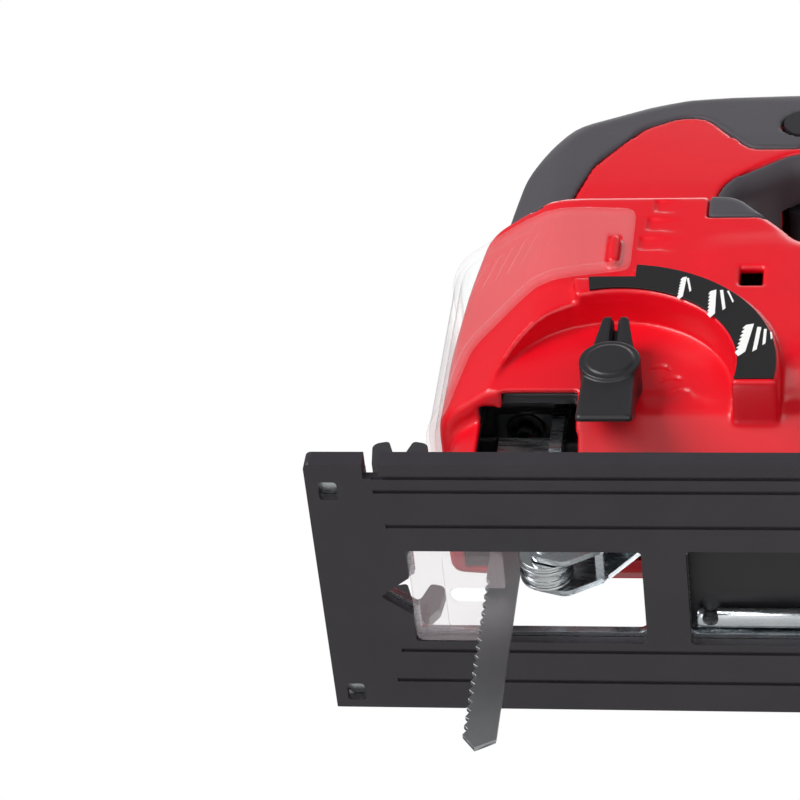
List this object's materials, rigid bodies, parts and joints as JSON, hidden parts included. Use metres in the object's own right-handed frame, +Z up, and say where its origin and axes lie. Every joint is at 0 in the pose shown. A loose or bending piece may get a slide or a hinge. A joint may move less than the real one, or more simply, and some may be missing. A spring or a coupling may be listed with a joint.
{
  "type": "jigsaw",
  "caption": "Corded jigsaw with closed D-handle, orbital selector, clear chip guard, tilting sole with slip-on glide shoe and reciprocating blade.",
  "frame": {"origin": "on the underside of the glide shoe, on the centre line, under the bar between the two sole windows", "axes": "-X the cutting direction and the tool's front, +Y the tool's right side, +Z up from the work towards the handle"},
  "size_m": [0.222, 0.08, 0.2455],
  "materials": {
    "red_abs": "moulded, satin gloss",
    "soft_grip": "soft matte",
    "clear_plastic": "clear polycarbonate",
    "black_label": "printed",
    "black_plastic": "fine texture",
    "spring_steel": "drawn",
    "black_rubber": "matte",
    "yellow_case": "moulded",
    "lamination_steel": "stacked sheet",
    "copper": "enamelled wire",
    "bright_steel": "ground",
    "brass": "turned",
    "carbon": "pressed",
    "die_cast": "as cast",
    "gear_steel": "machined",
    "dark_steel": "blackened",
    "zinc_steel": "zinc plated",
    "orange_plastic": "dipped",
    "blade_steel": "ground",
    "shoe_plastic": "fine texture",
    "clear_insert": "clear, faint pink",
    "grey_plastic": "moulded"
  },
  "bodies": {
    "housing": {"left_housing": "red_abs", "right_housing": "red_abs", "left_soft_grip": "soft_grip", "right_soft_grip": "soft_grip", "chip_guard": "clear_plastic", "scale_band": "black_label", "switch_module": "black_plastic", "cord_inlet": "black_rubber", "cord_clamp": "black_plastic", "suppressor_capacitor": "yellow_case", "field_stator": "lamination_steel", "field_coils": "copper", "brush_holders": "brass", "carbon_brushes": "carbon", "front_bearing": "bright_steel", "rear_bearing": "bright_steel", "rear_bearing_plate": "die_cast", "gear_case": "die_cast", "gear_axle": "bright_steel", "swing_pins": "bright_steel", "bracket_pin": "bright_steel", "tilt_clamp_block": "dark_steel", "tilt_screws": "dark_steel", "housing_screws": "dark_steel", "trigger_spring": "spring_steel"},
    "armature": {"armature_shaft": "bright_steel", "armature_core": "lamination_steel", "armature_windings": "copper", "commutator": "copper", "cooling_fan": "black_plastic"},
    "gear": {"drive_gear": "gear_steel", "crank_pin": "bright_steel", "crank_roller": "bright_steel"},
    "swing": {"swing_frame": "die_cast", "plunger_bushes": "brass"},
    "plunger_unit": {"plunger": "bright_steel", "plunger_yoke": "gear_steel", "clamp_body": "gear_steel", "clamp_spring": "spring_steel", "saw_blade": "blade_steel"},
    "clamp": {"clamp_collar": "dark_steel", "clamp_lever": "zinc_steel", "lever_tip": "orange_plastic"},
    "selector": {"selector_lever": "black_plastic", "selector_cam": "black_plastic"},
    "bracket": {"roller_bracket": "zinc_steel", "roller_pin": "bright_steel"},
    "roller": {"guide_roller": "bright_steel"},
    "trigger_unit": {"trigger": "black_plastic"},
    "lock": {"lock_button": "black_plastic"},
    "dial": {"speed_dial": "black_plastic"},
    "sole": {"sole_plate": "zinc_steel", "tilt_saddle": "zinc_steel", "saddle_rivets": "bright_steel", "edge_rail": "zinc_steel", "dust_channel": "black_plastic"},
    "shoe": {"glide_shoe": "shoe_plastic"},
    "insert": {"splinter_guard": "clear_insert"},
    "left_wing": {"left_wing_screw": "grey_plastic"},
    "right_wing": {"right_wing_screw": "grey_plastic"}
  },
  "joints": [
    {"name": "armature_spin", "type": "hinge", "parent": "housing", "child": "armature", "pos_m": [0, 0, 0.068], "axis": [1, 0, 0], "continuous": true},
    {"name": "gear_spin", "type": "hinge", "parent": "housing", "child": "gear", "pos_m": [-0.02, 0, 0.09305], "axis": [1, 0, 0], "continuous": true},
    {"name": "orbit_swing", "type": "hinge", "parent": "housing", "child": "swing", "pos_m": [-0.04, 0, 0.1195], "axis": [0, 1, 0], "range_deg": [0, 1.2]},
    {"name": "blade_stroke", "type": "slide", "parent": "swing", "child": "plunger_unit", "axis": [0, 0, 1], "range_m": [-0.009, 0.009]},
    {"name": "clamp_release", "type": "hinge", "parent": "plunger_unit", "child": "clamp", "pos_m": [-0.04, 0, 0.04], "axis": [0, 0, -1], "range_deg": [0, 30], "stiffness_Nm_per_rad": 0.05},
    {"name": "selector_turn", "type": "hinge", "parent": "housing", "child": "selector", "pos_m": [-0.0147, -0.034, 0.042], "axis": [0, 1, 0], "range_deg": [0, 90]},
    {"name": "bracket_swing", "type": "hinge", "parent": "housing", "child": "bracket", "pos_m": [-0.011, 0, 0.031], "axis": [0, 1, 0], "range_deg": [0, 4.2]},
    {"name": "roller_spin", "type": "hinge", "parent": "bracket", "child": "roller", "pos_m": [-0.0303, 0, 0.0126], "axis": [0, 1, 0], "continuous": true},
    {"name": "trigger_pull", "type": "slide", "parent": "housing", "child": "trigger_unit", "axis": [0, 0, 1], "range_m": [0, 0.006], "stiffness_N_per_m": 300, "springref_m": -0.002, "deforming": ["trigger_spring"]},
    {"name": "lock_press", "type": "slide", "parent": "housing", "child": "lock", "axis": [0, 1, 0], "range_m": [0, 0.003], "stiffness_N_per_m": 300},
    {"name": "speed_turn", "type": "hinge", "parent": "housing", "child": "dial", "pos_m": [0.08, 0, 0.1822], "axis": [0, 1, 0], "range_deg": [0, 270]},
    {"name": "sole_tilt", "type": "hinge", "parent": "housing", "child": "sole", "pos_m": [0, 0, 0.0013], "axis": [1, 0, 0], "range_deg": [-45, 45]},
    {"name": "shoe_release", "type": "slide", "parent": "sole", "child": "shoe", "axis": [0, 0, -1], "range_m": [0, 0.01]},
    {"name": "insert_release", "type": "slide", "parent": "shoe", "child": "insert", "axis": [0, 0, -1], "range_m": [0, 0.008]},
    {"name": "left_wing_turn", "type": "hinge", "parent": "sole", "child": "left_wing", "pos_m": [-0.0655, -0.0232, 0.015], "axis": [0, 0, 1], "range_deg": [0, 360]},
    {"name": "right_wing_turn", "type": "hinge", "parent": "sole", "child": "right_wing", "pos_m": [-0.0655, 0.0232, 0.015], "axis": [0, 0, 1], "range_deg": [0, 360]}
  ],
  "couplings": [
    {"joint": "gear_spin", "follows": "armature_spin", "ratio": -0.21951},
    {"joint": "bracket_swing", "follows": "orbit_swing", "ratio": 3.3}
  ]
}
